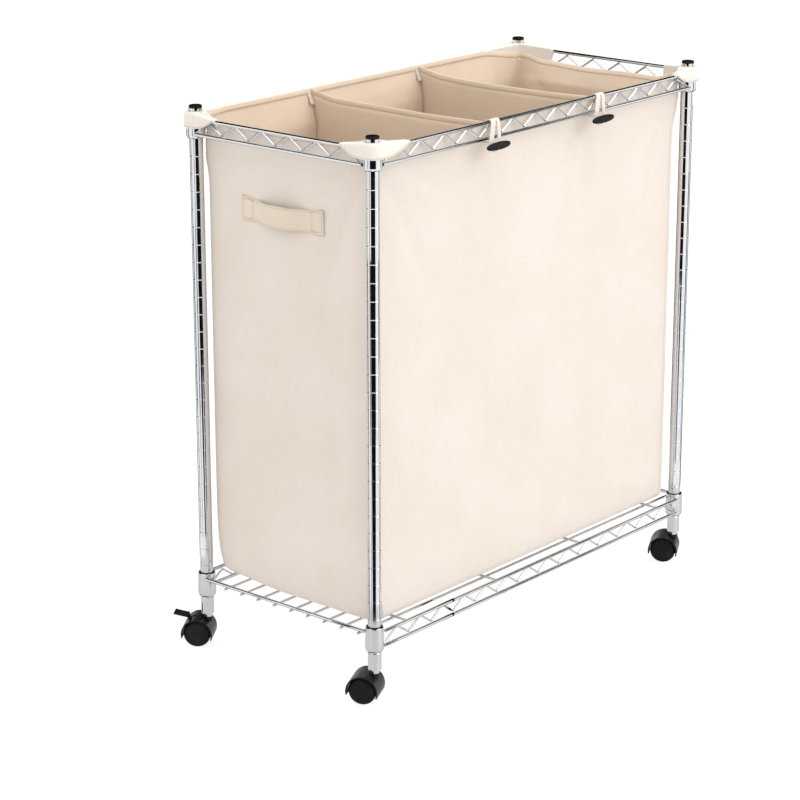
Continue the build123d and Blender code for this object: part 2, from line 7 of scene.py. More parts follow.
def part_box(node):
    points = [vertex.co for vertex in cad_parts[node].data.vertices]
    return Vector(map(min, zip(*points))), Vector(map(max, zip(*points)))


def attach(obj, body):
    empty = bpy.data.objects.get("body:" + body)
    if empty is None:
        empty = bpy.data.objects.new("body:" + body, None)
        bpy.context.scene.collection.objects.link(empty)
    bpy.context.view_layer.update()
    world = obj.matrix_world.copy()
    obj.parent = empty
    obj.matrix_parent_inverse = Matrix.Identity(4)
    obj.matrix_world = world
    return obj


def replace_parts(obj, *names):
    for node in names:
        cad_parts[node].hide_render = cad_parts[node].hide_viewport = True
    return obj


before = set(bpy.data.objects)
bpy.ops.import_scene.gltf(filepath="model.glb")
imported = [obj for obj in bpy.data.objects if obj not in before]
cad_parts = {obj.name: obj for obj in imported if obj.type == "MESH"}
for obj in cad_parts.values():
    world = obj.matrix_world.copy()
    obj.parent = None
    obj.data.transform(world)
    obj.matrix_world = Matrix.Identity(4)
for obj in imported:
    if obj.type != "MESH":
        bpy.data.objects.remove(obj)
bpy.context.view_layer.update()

# ---------- places taken from the frame ----------
_lo, _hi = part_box("post_front_right")
PX, PY, POST_R = (_lo.x + _hi.x) / 2, -(_lo.y + _hi.y) / 2, (_hi.x - _lo.x) / 2
BAG_LO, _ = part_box("bag_bottom_panel")
Z0 = BAG_LO.z
HX, HY, SHIFT = 0.3520, 0.1550, 0.0030       # the bag's half sizes below its rim, and how far back it hangs
ROD_R = 0.0025
_lo, _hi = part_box("top_truss_front")
ROD_Y = -(_lo.y + ROD_R)
ROD_TOP, ROD_LOW = _hi.z, _lo.z              # top of the upper rods, bottom of the lower rods
_lo, _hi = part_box("top_truss_right")
ROD_X = _hi.x - ROD_R
DIV_X = (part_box("bag_divider_right")[0].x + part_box("bag_divider_right")[1].x) / 2
RIM = 0.7875                                  # height of the bag's rim along the front
RIM_IN = 0.0062                               # the rim's outer face, inside the rods' axes
FLARE_Z = 0.744                               # the bag widens from here to its rim
STRETCH_Z = 0.70                              # rows of the bag above this follow the rim's height
CLOTH = 0.0015
SIDES = (("front_left", -1, -1), ("front_right", 1, -1), ("back_left", -1, 1), ("back_right", 1, 1))


# ---------- node helpers ----------
def new_material(name):
    mat = bpy.data.materials.new(name)
    mat.use_nodes = True
    nodes, links = mat.node_tree.nodes, mat.node_tree.links
    return mat, nodes, links, nodes["Principled BSDF"]


def node(nodes, kind, **values):
    made = nodes.new(kind)
    for key, value in values.items():
        if key in made.inputs:
            made.inputs[key].default_value = value
        else:
            setattr(made, key, value)
    return made


def ramp(nodes, links, source, low, high, a, b):
    """Value a up to low, b from high, smooth between."""
    made = node(nodes, "ShaderNodeMapRange", interpolation_type="SMOOTHSTEP")
    for key, value in (("From Min", low), ("From Max", high), ("To Min", a), ("To Max", b)):
        made.inputs[key].default_value = value
    links.new(source, made.inputs["Value"])
    return made.outputs["Result"]


def mix_colour(nodes, links, factor, a, b):
    made = nodes.new("ShaderNodeMix")
    made.data_type = "RGBA"
    links.new(factor, made.inputs["Factor"])
    for socket, value in (("A", a), ("B", b)):
        target = [s for s in made.inputs if s.name == socket and s.type == "RGBA"][0]
        if isinstance(value, tuple):
            target.default_value = value
        else:
            links.new(value, target)
    return [s for s in made.outputs if s.type == "RGBA"][0]


def chrome(name, tint, rough):
    mat, nodes, links, bsdf = new_material(name)
    bsdf.inputs["Metallic"].default_value = 1.0
    coords = nodes.new("ShaderNodeTexCoord")
    haze = node(nodes, "ShaderNodeTexNoise", Scale=38.0, Detail=4.0)
    links.new(coords.outputs["Object"], haze.inputs["Vector"])
    links.new(ramp(nodes, links, haze.outputs["Fac"], 0.35, 0.7, rough * 0.7, rough * 1.6), bsdf.inputs["Roughness"])
    dark = tuple(c * 0.86 for c in tint[:3]) + (1,)
    links.new(mix_colour(nodes, links, haze.outputs["Fac"], tint, dark), bsdf.inputs["Base Color"])
    fine = node(nodes, "ShaderNodeTexNoise", Scale=900.0, Detail=2.0)
    links.new(coords.outputs["Object"], fine.inputs["Vector"])
    bump = node(nodes, "ShaderNodeBump", Strength=0.04, Distance=0.0002)
    links.new(fine.outputs["Fac"], bump.inputs["Height"])
    links.new(bump.outputs["Normal"], bsdf.inputs["Normal"])
    return mat


def plastic(name, colour, worn, rough, grain, coat=0.0):
    mat, nodes, links, bsdf = new_material(name)
    bsdf.inputs["Specular IOR Level"].default_value = 0.16
    bsdf.inputs["Coat Weight"].default_value = coat
    bsdf.inputs["Coat Roughness"].default_value = 0.12
    coords = nodes.new("ShaderNodeTexCoord")
    patch = node(nodes, "ShaderNodeTexNoise", Scale=55.0, Detail=5.0)
    links.new(coords.outputs["Object"], patch.inputs["Vector"])
    mask = ramp(nodes, links, patch.outputs["Fac"], 0.45, 0.75, 0.0, 1.0)
    links.new(mix_colour(nodes, links, mask, colour, worn), bsdf.inputs["Base Color"])
    links.new(ramp(nodes, links, patch.outputs["Fac"], 0.3, 0.8, rough * 0.8, rough * 1.35), bsdf.inputs["Roughness"])
    leather = node(nodes, "ShaderNodeTexVoronoi", Scale=grain)
    links.new(coords.outputs["Object"], leather.inputs["Vector"])
    bump = node(nodes, "ShaderNodeBump", Strength=0.12, Distance=0.0003)
    links.new(leather.outputs["Distance"], bump.inputs["Height"])
    links.new(bump.outputs["Normal"], bsdf.inputs["Normal"])
    return mat


def canvas(name, light, dark, pitch=0.0011, sheen=0.25, mottling=1.0):
    """Plain-weave cotton: UVs are metres of cloth along the weft and the warp."""
    mat, nodes, links, bsdf = new_material(name)
    bsdf.inputs["Sheen Weight"].default_value = sheen
    bsdf.inputs["Sheen Roughness"].default_value = 0.5
    bsdf.inputs["Specular IOR Level"].default_value = 0.15
    coords = nodes.new("ShaderNodeTexCoord")
    uv = coords.outputs["UV"]
    bands = []
    for direction in ("X", "Y"):
        wave = node(nodes, "ShaderNodeTexWave", Scale=0.314 / pitch, Distortion=1.2, Detail=1.0,
                    bands_direction=direction)
        wave.inputs["Detail Scale"].default_value = 0.25
        links.new(uv, wave.inputs["Vector"])
        bands.append(wave.outputs["Fac"])
    weave = node(nodes, "ShaderNodeMath", operation="MULTIPLY")
    links.new(bands[0], weave.inputs[0])
    links.new(bands[1], weave.inputs[1])
    slubs = []
    for stretch in ((420.0, 34.0, 1.0), (30.0, 380.0, 1.0)):
        mapping = nodes.new("ShaderNodeMapping")
        mapping.inputs["Scale"].default_value = stretch
        links.new(uv, mapping.inputs["Vector"])
        slub = node(nodes, "ShaderNodeTexNoise", Scale=1.0, Detail=3.0)
        links.new(mapping.outputs["Vector"], slub.inputs["Vector"])
        slubs.append(slub.outputs["Fac"])
    threads = node(nodes, "ShaderNodeMath", operation="ADD")
    links.new(slubs[0], threads.inputs[0])
    links.new(slubs[1], threads.inputs[1])
    cloud = node(nodes, "ShaderNodeTexNoise", Scale=7.0, Detail=5.0, Roughness=0.55)
    links.new(uv, cloud.inputs["Vector"])
    base = mix_colour(nodes, links, ramp(nodes, links, cloud.outputs["Fac"], 0.3, 0.72, 0.0, mottling), light, dark)
    deep = tuple(c * 0.93 for c in dark[:3]) + (1,)
    base = mix_colour(nodes, links, ramp(nodes, links, threads.outputs[0], 0.85, 1.35, 0.0, 0.35), base, deep)
    links.new(base, bsdf.inputs["Base Color"])
    links.new(ramp(nodes, links, threads.outputs[0], 0.7, 1.3, 0.82, 0.96), bsdf.inputs["Roughness"])
    height = node(nodes, "ShaderNodeMath", operation="MULTIPLY_ADD")
    links.new(threads.outputs[0], height.inputs[0])
    height.inputs[1].default_value = 0.6
    links.new(weave.outputs[0], height.inputs[2])
    bump = node(nodes, "ShaderNodeBump", Strength=0.35, Distance=0.0004)
    links.new(height.outputs[0], bump.inputs["Height"])
    links.new(bump.outputs["Normal"], bsdf.inputs["Normal"])
    return mat


CHROME = chrome("chrome_plate", (0.80, 0.81, 0.83, 1), 0.07)
CHROME_WIRE = chrome("chrome_wire", (0.74, 0.75, 0.77, 1), 0.03)
STEEL = chrome("drawn_steel", (0.45, 0.45, 0.46, 1), 0.3)
BLACK = plastic("black_plastic_satin", (0.004, 0.004, 0.004, 1), (0.012, 0.011, 0.011, 1), 0.36, 700.0)
CASTER = plastic("caster_nylon", (0.007, 0.007, 0.008, 1), (0.018, 0.018, 0.019, 1), 0.30, 900.0, 0.10)
WHEEL = plastic("wheel_nylon", (0.005, 0.005, 0.005, 1), (0.014, 0.013, 0.013, 1), 0.40, 800.0)
TOGGLE = plastic("toggle_plastic", (0.003, 0.003, 0.003, 1), (0.009, 0.008, 0.008, 1), 0.34, 600.0, 0.05)
CREAM = canvas("canvas_cream", (0.72, 0.645, 0.575, 1), (0.69, 0.605, 0.53, 1))
TAN = canvas("canvas_tan", (0.72, 0.585, 0.455, 1), (0.68, 0.545, 0.415, 1))
EAR_CLOTH = canvas("canvas_white", (0.76, 0.71, 0.65, 1), (0.70, 0.64, 0.57, 1), 0.0010)
STRAP_CLOTH = canvas("canvas_strap", (0.72, 0.62, 0.515, 1), (0.67, 0.565, 0.455, 1), 0.0010)
TAPE_CLOTH = canvas("cotton_tape", (0.76, 0.69, 0.60, 1), (0.68, 0.60, 0.51, 1), 0.0008)
THREAD = canvas("sewing_thread", (0.62, 0.50, 0.37, 1), (0.52, 0.41, 0.30, 1), 0.0004)


def paint(material, *names):
    """Give CAD nodes a material in every slot."""
    for name in names:
        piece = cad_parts[name]
        if not piece.material_slots:
            piece.data.materials.append(material)
        for slot in piece.material_slots:
            slot.material = material


# ---------- mesh helpers ----------
def smoothstep(a, b, x):
    t = min(1.0, max(0.0, (x - a) / (b - a)))
    return t * t * (3 - 2 * t)


def build(name, verts, faces, materials, body, slot, uvs=None, face_materials=None):
    """A smooth-shaded mesh piece that rides on a body. uvs holds one (u, v) per vertex."""
    mesh = bpy.data.meshes.new(name)
    mesh.from_pydata([tuple(v) for v in verts], [], faces)
    for material in materials:
        mesh.materials.append(material)
    if face_materials:
        mesh.polygons.foreach_set("material_index", face_materials)
    if uvs:
        layer = mesh.uv_layers.new(name="UVMap")
        for loop in mesh.loops:
            layer.data[loop.index].uv = uvs[loop.vertex_index]
    mesh.polygons.foreach_set("use_smooth", [True] * len(mesh.polygons))
    mesh.validate()
    mesh.update()
    made = bpy.data.objects.new(name, mesh)
    bpy.context.scene.collection.objects.link(made)
    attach(made, body)
    return made


def apply_modifiers(piece):
    """Keep the modified mesh as the piece's own."""
    depsgraph = bpy.context.evaluated_depsgraph_get()
    mesh = bpy.data.meshes.new_from_object(piece.evaluated_get(depsgraph))
    piece.modifiers.clear()
    piece.data = mesh
    return piece


def thicken(piece, thickness, inside=0, rim=0, offset=-1.0):
    """Give a surface a thickness and its back and edge their own material slots."""
    solid = piece.modifiers.new("cloth", "SOLIDIFY")
    solid.thickness = thickness
    solid.offset = offset
    solid.use_even_offset = False
    solid.material_offset = inside
    solid.material_offset_rim = rim
    return apply_modifiers(piece)


def lattice(rows, closed=False):
    """Vertices and quads of a grid of rows; closed joins each row's ends."""
    n = len(rows[0])
    verts = [p for row in rows for p in row]
    faces = []
    for i in range(len(rows) - 1):
        for j in range(n if closed else n - 1):
            k = (j + 1) % n
            faces.append((i * n + j, i * n + k, (i + 1) * n + k, (i + 1) * n + j))
    return verts, faces


def loft(rings):
    """Closed rings joined in order, capped at both ends."""
    verts, faces = lattice(rings, closed=True)
    n = len(rings[0])
    faces.append(tuple(range(n))[::-1])
    faces.append(tuple(range(len(verts) - n, len(verts))))
    return verts, faces


def band_section(width, thick, across=4):
    """Rounded flat section as (side, out) pairs, with points along both broad faces."""
    r = thick / 2
    half = width / 2 - r
    right = [(half + r * math.cos(a), r * math.sin(a)) for a in (math.radians(d) for d in (-60, -20, 20, 60))]
    top = [(half - 2 * half * i / across, r) for i in range(across + 1)]
    left = [(-(half + r * math.cos(a)), r * math.sin(a)) for a in (math.radians(d) for d in (60, 20, -20, -60))]
    bottom = [(-half + 2 * half * i / across, -r) for i in range(across + 1)]
    return right + top + left + bottom


def band(path, sides, width, thick, outs=None):
    """Flat band along a path. sides gives its width direction at each point; width may vary."""
    rings, uvs, run = [], [], 0.0
    for i, p in enumerate(path):
        ahead = path[min(i + 1, len(path) - 1)] - path[max(i - 1, 0)]
        side = sides[i].normalized()
        out = outs[i].normalized() if outs else ahead.cross(side).normalized()
        w = width[i] if isinstance(width, list) else width
        if i:
            run += (p - path[i - 1]).length
        section = band_section(w, thick)
        rings.append([p + side * a + out * b for a, b in section])
        uvs += [(run, a) for a, b in section]
    return (*loft(rings), uvs)


def smooth_path(points, count):
    """Catmull-Rom curve through points, sampled evenly in its parameter."""
    pts = [points[0] * 2 - points[1], *points, points[-1] * 2 - points[-2]]
    found = []
    for i in range(count + 1):
        t = i / count * (len(points) - 1)
        k = min(int(t), len(points) - 2)
        f = t - k
        a, b, c, d = pts[k:k + 4]
        found.append(0.5 * ((2 * b) + (c - a) * f + (2 * a - 5 * b + 4 * c - d) * f * f
                            + (3 * b - 3 * c + d - a) * f ** 3))
    return found


def stitches(path, normals, pitch=0.0034, length=0.0024, width=0.0008, height=0.0005):
    """Thread beads along a line on cloth."""
    verts, faces, run, due = [], [], 0.0, pitch / 2
    for i in range(len(path) - 1):
        a, b = path[i], path[i + 1]
        step = (b - a).length
        if step < 1e-7:
            continue
        while due <= run + step:
            f = (due - run) / step
            centre, out = a.lerp(b, f), normals[i].lerp(normals[i + 1], f).normalized()
            along = (b - a).normalized()
            side = along.cross(out).normalized()
            base = len(verts)
            for u, w, h in ((-1, 0, 0), (-.6, -1, .1), (-.6, 0, 1), (-.6, 1, .1), (.6, -1, .1), (.6, 0, 1),
                            (.6, 1, .1), (1, 0, 0)):
                verts.append(centre + along * (u * length / 2) + side * (w * width / 2) + out * (h * height))
            faces += [tuple(base + k for k in f) for f in ((0, 1, 2), (0, 2, 3), (1, 4, 5, 2), (2, 5, 6, 3),
                                                         (4, 7, 5), (5, 7, 6), (0, 3, 1), (1, 3, 6, 4), (4, 6, 7))]
            due += pitch
        run += step
    return verts, faces


def sew(name, lines):
    """One piece of thread made from several rows of stitches."""
    verts, faces, uvs = join(lines)
    build(name, verts, faces, [THREAD], "frame", "canvas", uvs)


def join(parts):
    """Several (verts, faces, uvs) as one; uvs may be missing."""
    verts, faces, uvs = [], [], []
    for part in parts:
        base = len(verts)
        verts += part[0]
        faces += [tuple(base + k for k in f) for f in part[1]]
        uvs += part[2] if len(part) > 2 else [(0.31 * p.x + 0.22 * p.y, p.z) for p in part[0]]
    return verts, faces, uvs


# ---------- the bag's shape ----------
NX, NY, NC = 100, 44, 8                       # steps along a long side, a short side and round a corner
BOTTOM_R = 0.012


def rim_height(kind, s):
    """The rim hangs low along the right side and rides over the back rod."""
    if kind == "front":
        return RIM
    if kind == "back":
        return RIM + 0.0068 - 0.0098 * smoothstep(0.272, 0.352, s)
    wave = 0.0008 * math.sin(38 * s + (0.6 if kind == "right" else 2.0))
    if kind == "left":
        return RIM - (0.0030 + wave) * smoothstep(0.155, 0.10, abs(s)) + 0.0068 * smoothstep(0.130, 0.155, s)
    low = 0.0110 + wave + 0.0020 * math.cos(math.pi * s / 0.31)
    return RIM - 0.0030 * smoothstep(0.10, 0.155, s) - low * smoothstep(0.154, 0.108, abs(s))


FOLDS = {
    # kind: (s0, z0, s1, z1, half width, height)
    "left": (
        (-0.142, 0.748, -0.070, 0.560, 0.010, -0.0026), (-0.125, 0.752, -0.015, 0.640, 0.008, 0.0018),
        (-0.146, 0.700, -0.118, 0.420, 0.012, 0.0020), (0.143, 0.745, 0.085, 0.585, 0.010, -0.0022),
        (0.120, 0.750, 0.070, 0.690, 0.008, 0.0016), (-0.052, 0.650, -0.060, 0.470, 0.011, 0.0022),
        (0.070, 0.650, 0.090, 0.440, 0.012, -0.0020), (0.010, 0.640, 0.000, 0.480, 0.016, -0.0018),
        (-0.120, 0.150, -0.030, 0.210, 0.013, 0.0018), (0.130, 0.135, 0.060, 0.240, 0.012, -0.0018),
        (-0.090, 0.420, -0.100, 0.230, 0.016, -0.0020), (0.040, 0.460, 0.055, 0.250, 0.017, 0.0018),
    ),
    "right": (
        (0.142, 0.748, 0.070, 0.560, 0.010, -0.0026), (0.120, 0.752, 0.020, 0.640, 0.008, 0.0018),
        (-0.143, 0.745, -0.085, 0.575, 0.010, -0.0022), (0.052, 0.650, 0.062, 0.470, 0.011, 0.0022),
        (-0.070, 0.650, -0.088, 0.440, 0.012, -0.0020), (-0.010, 0.640, 0.004, 0.470, 0.016, -0.0018),
        (0.110, 0.150, 0.030, 0.215, 0.013, 0.0018), (-0.125, 0.140, -0.060, 0.235, 0.012, -0.0018),
    ),
    "front": (
        (-0.332, 0.742, -0.230, 0.540, 0.014, -0.0022), (-0.310, 0.748, -0.180, 0.650, 0.011, 0.0014),
        (0.332, 0.742, 0.255, 0.560, 0.014, -0.0020), (0.300, 0.750, 0.215, 0.670, 0.011, 0.0013),
        (-0.122, 0.765, -0.160, 0.640, 0.010, 0.0012), (-0.122, 0.765, -0.085, 0.640, 0.010, 0.0012),
        (0.122, 0.765, 0.085, 0.640, 0.010, 0.0012), (0.122, 0.765, 0.160, 0.640, 0.010, 0.0012),
        (-0.300, 0.135, -0.180, 0.190, 0.016, 0.0014), (0.305, 0.135, 0.200, 0.185, 0.016, 0.0014),
    ),
}
FOLDS["back"] = tuple((-a, b, -c, d, w, h) for a, b, c, d, w, h in FOLDS["front"])
SEED = {"front": 3.1, "right": 17.7, "back": 41.3, "left": 63.9}


def ripple(kind, s, z):
    """How far the cloth stands out of its flat face, in metres."""
    half = HX if kind in ("front", "back") else HY
    free = smoothstep(Z0, Z0 + 0.05, z) * (1 - smoothstep(0.742, 0.772, z))
    free *= smoothstep(half, half - 0.03, abs(s))
    out = 0.0022 * noise.noise(Vector((s * 7, z * 4.5, SEED[kind])))
    out += 0.0009 * noise.noise(Vector((s * 21, z * 13, SEED[kind] + 5)))
    out += 0.0003 * noise.noise(Vector((s * 60, z * 44, SEED[kind] + 9)))
    for s0, z0, s1, z1, width, height in FOLDS[kind]:
        ds, dz = s1 - s0, z1 - z0
        long = ds * ds + dz * dz
        f = ((s - s0) * ds + (z - z0) * dz) / long
        if -0.15 < f < 1.15:
            away = abs((s - s0) * dz - (z - z0) * ds) / math.sqrt(long)
            wide = width * (0.6 + 0.8 * f)
            out += height * math.exp(-(away / wide) ** 2) * smoothstep(-0.15, 0.2, f) * smoothstep(1.15, 0.45, f)
    belly = 0.0030 * math.cos(math.pi * s / (2 * half)) * math.sin(math.pi * min(1, (z - Z0) / 0.66))
    if kind in ("front", "back"):
        for x in (-DIV_X, DIV_X):
            out -= 0.0009 * math.exp(-((s - x) / 0.012) ** 2)
    return free * (out + belly)


def half_sizes(z):
    """Half sizes and middle of the bag's section at a height."""
    flare = min(1.0, max(0.0, z - FLARE_Z) / (RIM - FLARE_Z))
    hx = HX + (ROD_X - RIM_IN - HX) * flare
    hy = HY + (ROD_Y - RIM_IN - HY) * flare
    return hx, hy, SHIFT * (1 - flare)


def radius(z, inset, signs):
    """A corner's radius. Near the bottom each corner slumps by its own amount."""
    r = 0.012 + SLUMP[signs] * math.exp(-(z - Z0) / 0.03) - 0.0095 * smoothstep(0.69, 0.74, z)
    return max(0.006, r - 0.4 * inset) if inset else r


def corner(z, hx, hy, middle, sx, sy):
    """Where two sides would meet: at the top they are drawn in past the inner side of the post's collar."""
    tuck = smoothstep(0.700, 0.7680, z) ** 1.5
    return (sx * (hx + (PX - TUCK_IN - hx) * tuck), sy * (hy + (PY - TUCK_IN - hy) * tuck) + middle * (1 - tuck))


ENDS = {"front": ((-1, -1), (1, -1)), "right": ((1, -1), (1, 1)), "back": ((-1, 1), (1, 1)),
        "left": ((-1, -1), (-1, 1))}
CORNER_SIGNS = ((1, -1), (1, 1), (-1, 1), (-1, -1))
SLUMP = {(-1, -1): 0.012, (1, -1): 0.002, (-1, 1): 0.026, (1, 1): 0.016}    # extra radius at the bottom
TUCK_IN = 0.0100                              # the rim's corners stand this far inside the post axes
TUCK_LONG = 0.050                             # the sides start to turn in this far from a corner
LIFT = 0.010                                  # how far the back left bottom corner hangs clear of the shelf


def section(level, inset=0.0):
    """One loop round the bag. level is a height up to STRETCH_Z, and stretches to the rim above it."""
    loop = []
    for kind, s, turn in STATIONS:
        z = level
        if level > STRETCH_Z:
            z = STRETCH_Z + (level - STRETCH_Z) * (rim_height(kind, s) - STRETCH_Z) / (RIM - STRETCH_Z)
        hx, hy, middle = half_sizes(z)
        hx, hy = hx - inset, hy - inset
        if turn is None:
            long = kind in ("front", "back")
            axis = 0 if long else 1
            meets = [corner(z, hx, hy, middle, *signs) for signs in ENDS[kind]]
            ends = [meets[i][axis] + way * radius(z, inset, ENDS[kind][i]) for i, way in ((0, 1), (1, -1))]
            along = ends[0] + (ends[1] - ends[0]) * (s / (HX if long else HY) + 1) / 2
            face = {"front": -hy + middle, "back": hy + middle, "right": hx, "left": -hx}[kind]
            for meet, end in zip(meets, ends):
                away = abs(along - end) / TUCK_LONG
                if away < 1:
                    face += (meet[1 - axis] - face) * (1 - away) ** 1.25
            out = ripple(kind, s, z) if inset == 0 else 0.0
            face += out if kind in ("back", "right") else -out
            point = (along, face) if long else (face, along)
        else:
            sx, sy = CORNER_SIGNS[turn[0]]
            mx, my = corner(z, hx, hy, middle, sx, sy)
            r = radius(z, inset, (sx, sy))
            angle = math.radians(90 * (turn[1] if sx * sy > 0 else NC - turn[1]) / NC)
            point = (mx + sx * r * (math.cos(angle) - 1), my + sy * r * (math.sin(angle) - 1))
        lift = LIFT * smoothstep(-0.24, -0.35, point[0]) * smoothstep(0.02, 0.15, point[1])
        loop.append(Vector((point[0], point[1], z + lift * math.exp(-(z - Z0) / 0.05))))
    return loop


def stations():
    """(kind, place along the side, corner's number and step) for every vertex of a loop."""
    found = []
    for number, (kind, half, count) in enumerate((("front", HX, NX), ("right", HY, NY), ("back", HX, NX),
                                                  ("left", HY, NY))):
        way = 1 if kind in ("front", "right") else -1
        for i in range(count + 1):
            found.append((kind, way * half * (2 * i / count - 1), None))
        for i in range(1, NC):
            found.append((kind, way * half, (number, i)))
    return found


STATIONS = stations()
LOW_ROWS, RIM_ROWS = 62, 22
LEVELS = [Z0 + BOTTOM_R + (STRETCH_Z - Z0 - BOTTOM_R) * i / LOW_ROWS for i in range(LOW_ROWS)]
LEVELS += [STRETCH_Z + (RIM - STRETCH_Z) * i / RIM_ROWS for i in range(RIM_ROWS + 1)]
ROUNDING = [math.radians(90 * i / 7) for i in range(7)]
HEM = 0.008                                   # depth of the turned and sewn rim


def loop_lengths():
    """Cloth metres round the bag at each station, the same at every height."""
    lengths, run = [0.0], 0.0
    loop = section(0.4)
    for a, b in zip(loop, loop[1:]):
        run += (b - a).length
        lengths.append(run)
    return lengths


LENGTHS = loop_lengths()


def make_bag():
    rows, heights = [], []
    for angle in ROUNDING:
        inset = BOTTOM_R * (1 - math.sin(angle))
        loop = section(Z0 + BOTTOM_R, inset)
        z = Z0 + BOTTOM_R * (1 - math.cos(angle))
        rows.append([Vector((p.x, p.y, p.z + z - Z0 - BOTTOM_R)) for p in loop])
        heights.append(-BOTTOM_R * (1.57 - angle))
    for level in LEVELS:
        rows.append(section(level))
        heights.append(level - Z0 - BOTTOM_R)
    n = len(rows[0])
    verts, faces = lattice(rows, closed=True)
    uvs = [(LENGTHS[j], h) for h in heights for j in range(n)]
    # bottom: rings that close on a line and lie flat on the shelf inside its edge
    edge = rows[0]
    inner = []
    for k in range(1, 13):
        f = k / 12
        ring = []
        for p in edge:
            line = max(-HX + HY, min(HX - HY, p.x))
            x, y = p.x + (line - p.x) * f, p.y + (SHIFT - p.y) * f
            ring.append(Vector((x, y, Z0 + 0.0002 + (p.z - Z0) * (1 - f) ** 2)))
        inner.append(ring)
    base = len(verts)
    for k, ring in enumerate(inner):
        verts += ring
        uvs += [(p.x, p.y) for p in ring]
        low = base + (k - 1) * n if k else 0
        for j in range(n):
            i = (j + 1) % n
            faces.append((base + k * n + j, base + k * n + i, low + i, low + j))
    shell = build("bag_shell", verts, faces, [CREAM, TAN], "frame", "canvas", uvs)
    weld = shell.modifiers.new("weld", "WELD")
    weld.merge_threshold = 0.00002
    apply_modifiers(shell)
    thicken(shell, CLOTH, inside=1, rim=1)
    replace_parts(shell, "bag_front_panel", "bag_back_panel", "bag_left_panel", "bag_right_panel", "bag_bottom_panel")
    return rows


def closed(loop):
    return [*loop, loop[0]]


def outward(loop):
    """Outward level normal at each point of a closed loop."""
    n = len(loop)
    found = []
    for i in range(n):
        along = loop[(i + 1) % n] - loop[i - 1]
        found.append(Vector((along.y, -along.x, 0)).normalized())
    return found


def make_hem(rows):
    """Turned rim: a narrow folded band inside the top edge, with its row of stitches."""
    top = rows[-1]
    normals = outward(top)
    count = int(HEM / ((RIM - STRETCH_Z) / RIM_ROWS)) + 2
    edge = rows[-1 - count]
    out_rows = []
    for off, down in ((-0.0012, 0.0072), (-0.0017, 0.0073), (-0.0020, 0.0069), (-0.0020, 0.0040), (-0.0019, 0.0006),
                      (-0.0016, -0.0002), (-0.0008, -0.0004), (0.0000, -0.0002), (0.0002, 0.0004), (0.0000, 0.0014)):
        row = []
        for p, e, out in zip(top, edge, normals):
            row.append(p + (e - p).normalized() * down + out * off)
        out_rows.append(row)
    verts, faces = lattice(out_rows, closed=True)
    n = len(top)
    faces += [(j, (j + 1) % n, (len(out_rows) - 1) * n + (j + 1) % n, (len(out_rows) - 1) * n + j)
              for j in range(n)]
    uvs = [(LENGTHS[j], 0.002 * i) for i in range(len(out_rows)) for j in range(n)]
    build("bag_hem", verts, faces, [TAN], "frame", "canvas", uvs)
    line = [p + (e - p).normalized() * 0.0060 - out * 0.0020 for p, e, out in zip(top, edge, normals)]
    inward = [-out for out in normals]
    sew("bag_hem_stitching", [stitches(closed(line), closed(inward))])


def make_seams(rows):
    """Felled seams down the long faces beside each corner, and sewn allowances inside the corners."""
    n = len(rows[0])
    parts, inner, sewn = [], [], []
    for index in (0, NX, NX + NC + NY + NC, 2 * NX + 2 * NC + NY):
        path = [row[index] for row in rows[3:-6]]
        sides = [(row[(index + 1) % n] - row[index - 1]).normalized() for row in rows[3:-6]]
        outs = [Vector((s.y, -s.x, 0)) for s in sides]
        path = [p + o * 0.0002 for p, o in zip(path, outs)]
        parts.append(band(path, sides, 0.0050, 0.0010, outs))
    seams = join(parts)
    build("bag_corner_seams", seams[0], seams[1], [CREAM], "frame", "canvas", seams[2])
    for index in (NX + NC // 2, NX + NC + NY + NC // 2, 2 * NX + 2 * NC + NY + NC // 2, n - NC // 2):
        chosen = rows[8:-2]
        sides = [(row[(index + 1) % n] - row[index - 1]).normalized() for row in chosen]
        outs = [Vector((-s.y, s.x, 0)) for s in sides]
        path = [row[index] + o * (CLOTH + 0.0006) for row, o in zip(chosen, outs)]
        inner.append(band(path, sides, 0.0075, 0.0014, outs))
        for across in (-0.0026, 0.0026):
            line = [p + s * across + o * 0.0008 for p, s, o in zip(path, sides, outs)]
            sewn.append(stitches(line, outs))
    seams = join(inner)
    build("bag_inner_seams", seams[0], seams[1], [TAN], "frame", "canvas", seams[2])
    sew("bag_inner_seam_stitching", sewn)


def wall(kind, s, z):
    """Distance of the cloth's outer face from the bag's middle plane."""
    hx, hy, middle = half_sizes(z)
    face = {"front": hy - middle, "back": hy + middle}.get(kind, hx)
    return face + ripple(kind, s, z)


